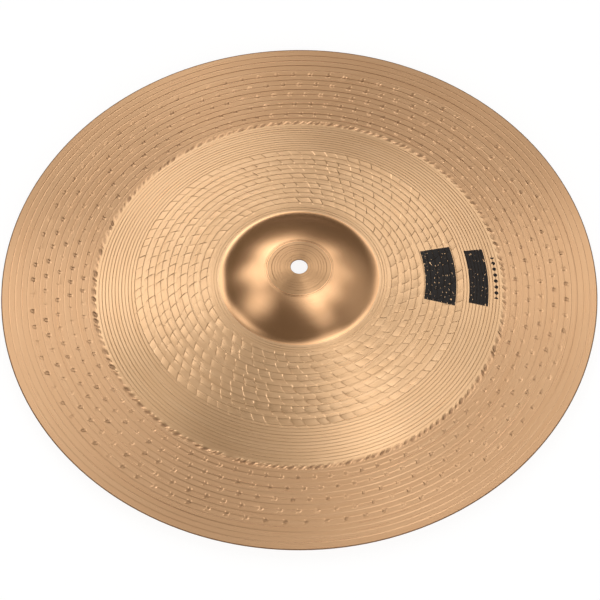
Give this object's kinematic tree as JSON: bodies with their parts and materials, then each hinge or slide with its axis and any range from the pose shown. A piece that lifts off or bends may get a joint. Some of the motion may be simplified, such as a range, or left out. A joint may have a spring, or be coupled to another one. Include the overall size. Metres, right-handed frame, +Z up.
{
  "type": "china cymbal",
  "caption": "One-piece sheet bronze china cymbal with a raised bell and centre hole, a hammered bow, a crease and an upturned flange.",
  "frame": {"origin": "on the cymbal's axis, level with the underside of the crease, which is what the cymbal rests on when it lies bell up on a flat surface", "axes": "+Z up along the cymbal's axis, out through the bell; +X and +Y square to it, with +X towards the side that the picture shows on the right"},
  "size_m": [0.4572, 0.4572, 0.0271],
  "materials": {
    "bronze": "lathed and hammered tin bronze, bright on the bell, clear lacquered"
  },
  "bodies": {
    "root": {"cymbal": "bronze"}
  },
  "joints": []
}
